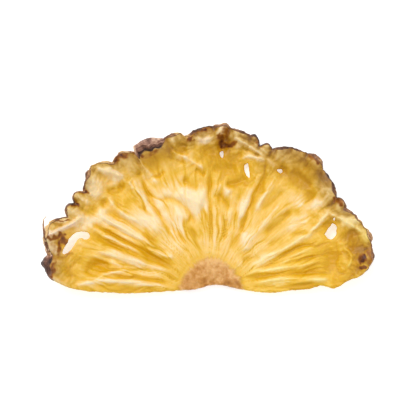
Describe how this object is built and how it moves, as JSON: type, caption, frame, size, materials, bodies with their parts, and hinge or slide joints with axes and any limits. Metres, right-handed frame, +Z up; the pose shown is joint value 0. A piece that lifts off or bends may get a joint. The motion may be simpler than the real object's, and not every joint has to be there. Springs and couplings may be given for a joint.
{
  "type": "dried pineapple half ring",
  "caption": "Thin dried half slice of pineapple: a tough half-round core on the cut edge, flesh in folds that run out from it, and a crimped rim of rind. It lies face up.",
  "frame": {"origin": "centre of the bounding box in plan, on the surface that the slice rests on", "axes": "+X along the cut edge, towards its right end as the picture shows the face, +Y from the core to the top of the rim, +Z up, out of the shown face"},
  "size_m": [0.0952, 0.0492, 0.0111],
  "materials": {
    "dried_pineapple": "semi-matt dried flesh, golden yellow, with a tan core and a brown rim of rind"
  },
  "bodies": {
    "root": {"half_ring": "dried_pineapple"}
  },
  "joints": []
}
